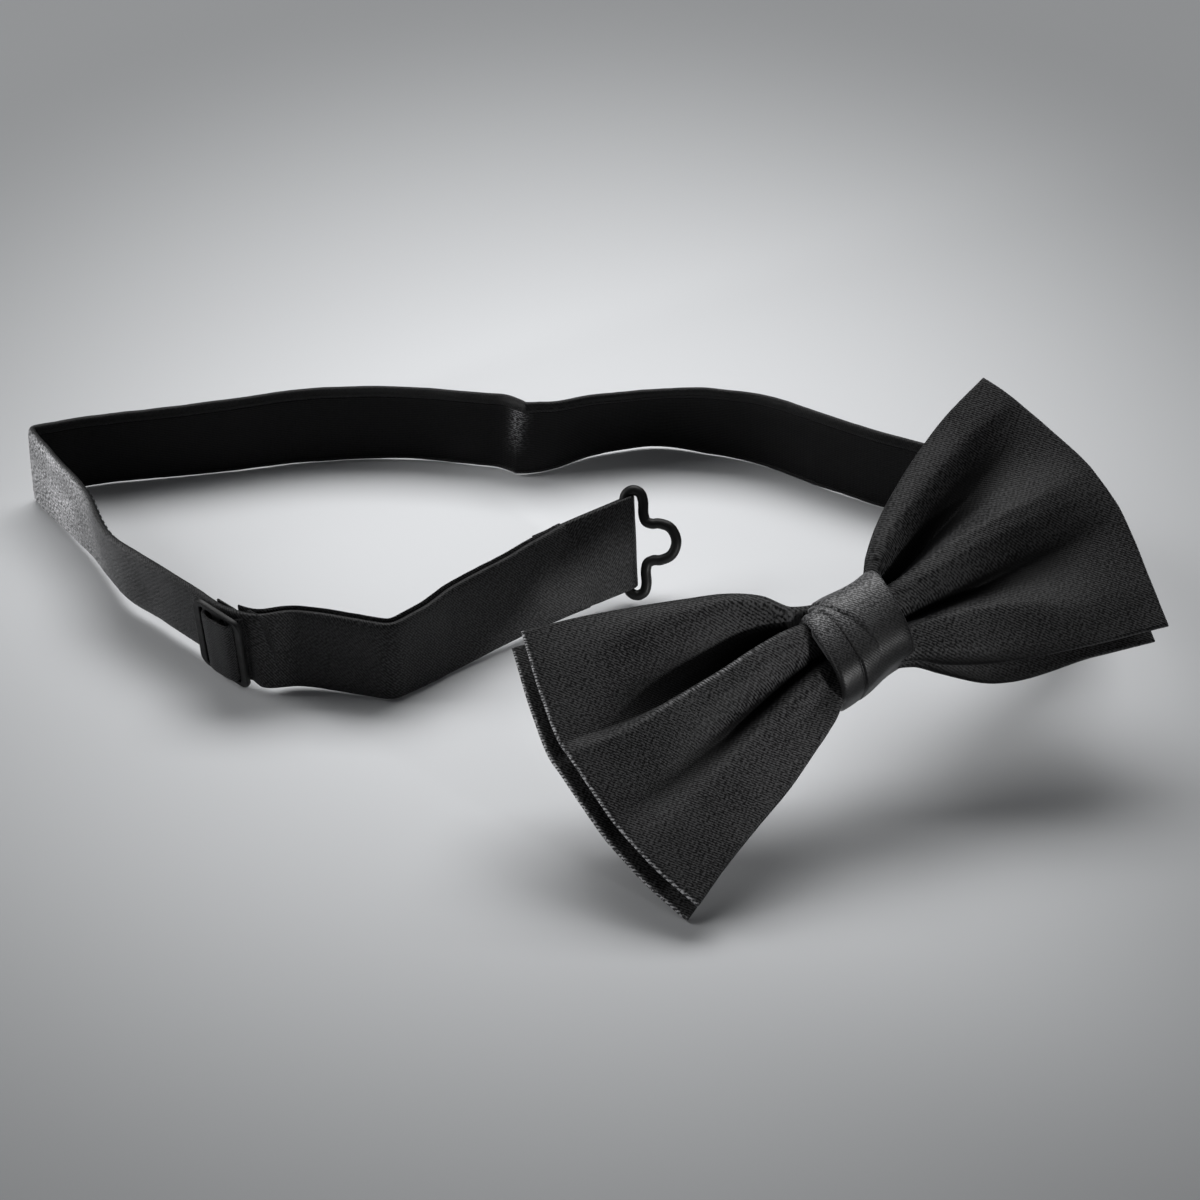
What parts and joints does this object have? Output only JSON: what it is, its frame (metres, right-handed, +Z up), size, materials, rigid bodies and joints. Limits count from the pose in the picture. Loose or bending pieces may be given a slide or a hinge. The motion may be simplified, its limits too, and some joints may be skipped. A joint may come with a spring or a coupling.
{
  "type": "bow tie",
  "caption": "Pre-tied satin bow tie: pleated double bow and knot on an adjustable neckband with a sliding adjuster, a wire clasp loop and a wire hook.",
  "frame": {"origin": "middle of the footprint, at the level of the surface the band stands on", "axes": "+X along the longest side, towards the bow's right wing; +Y from the bow towards the back of the neckband; +Z up, across the band's width"},
  "size_m": [0.2494, 0.1848, 0.0707],
  "materials": {
    "satin": "glossy black satin weave",
    "lining": "matt black plain weave",
    "interlining": "matt charcoal felted interlining",
    "thread": "black sewing thread",
    "black_paint": "semi-gloss black enamel on steel"
  },
  "bodies": {
    "bow_and_right_band": {"upper_bow_cover": "satin", "upper_bow_stiffener": "interlining", "lower_bow_cover": "satin", "lower_bow_stiffener": "interlining", "waist_thread": "thread", "knot_padding": "interlining", "knot_wrap": "satin", "knot_back_tack": "thread", "band_right_cover": "satin", "band_right_interlining": "interlining", "band_right_lining": "lining", "catch_fold": "satin", "catch_bar_tack": "thread"},
    "left_band": {"band_left_cover": "satin", "band_left_interlining": "interlining", "band_left_lining": "lining"},
    "front_band": {"band_front_cover": "satin", "band_front_interlining": "interlining", "band_front_lining": "lining", "return_strap_front": "satin"},
    "end_band": {"band_end_cover": "satin", "band_end_interlining": "interlining", "band_end_lining": "lining", "return_strap_end": "satin"},
    "adjuster": {"slider": "black_paint", "band_over_slider": "satin", "tail_loop": "satin", "tail_end": "satin", "tail_bar_tack": "thread"},
    "clasp_end": {"clasp_fold": "satin"},
    "clasp": {"clasp_loop": "black_paint"},
    "catch": {"catch_hook": "black_paint"}
  },
  "joints": [
    {"name": "back_bend", "type": "hinge", "parent": "bow_and_right_band", "child": "left_band", "pos_m": [-0.011, 0.081, 0], "axis": [0, 0, 1], "range_deg": [-25, 15]},
    {"name": "left_fold", "type": "hinge", "parent": "left_band", "child": "front_band", "pos_m": [-0.125, 0.069, 0], "axis": [0, 0, 1], "range_deg": [-90, 8]},
    {"name": "front_bend", "type": "hinge", "parent": "front_band", "child": "end_band", "pos_m": [-0.039, -0.012, 0], "axis": [0, 0, 1], "range_deg": [-25, 15]},
    {"name": "length_slide", "type": "slide", "parent": "front_band", "child": "adjuster", "axis": [0.6947, -0.7193, 0], "range_m": [-0.016, 0.002]},
    {"name": "clasp_slide", "type": "slide", "parent": "end_band", "child": "clasp_end", "axis": [0.8378, 0.5386, 0.0898], "range_m": [-0.008, 0.001]},
    {"name": "clasp_swivel", "type": "hinge", "parent": "clasp_end", "child": "clasp", "pos_m": [0.01182, 0.0314, 0.01241], "axis": [-0.0436, 0.4981, 0.866], "range_deg": [-30, 80]},
    {"name": "catch_swivel", "type": "hinge", "parent": "bow_and_right_band", "child": "catch", "pos_m": [0.0221, -0.0548, 0.017], "axis": [-0.5368, 0.6558, 0.5308], "range_deg": [-15, 15]}
  ],
  "couplings": [
    {"joint": "clasp_slide", "follows": "length_slide", "ratio": 0.5}
  ]
}
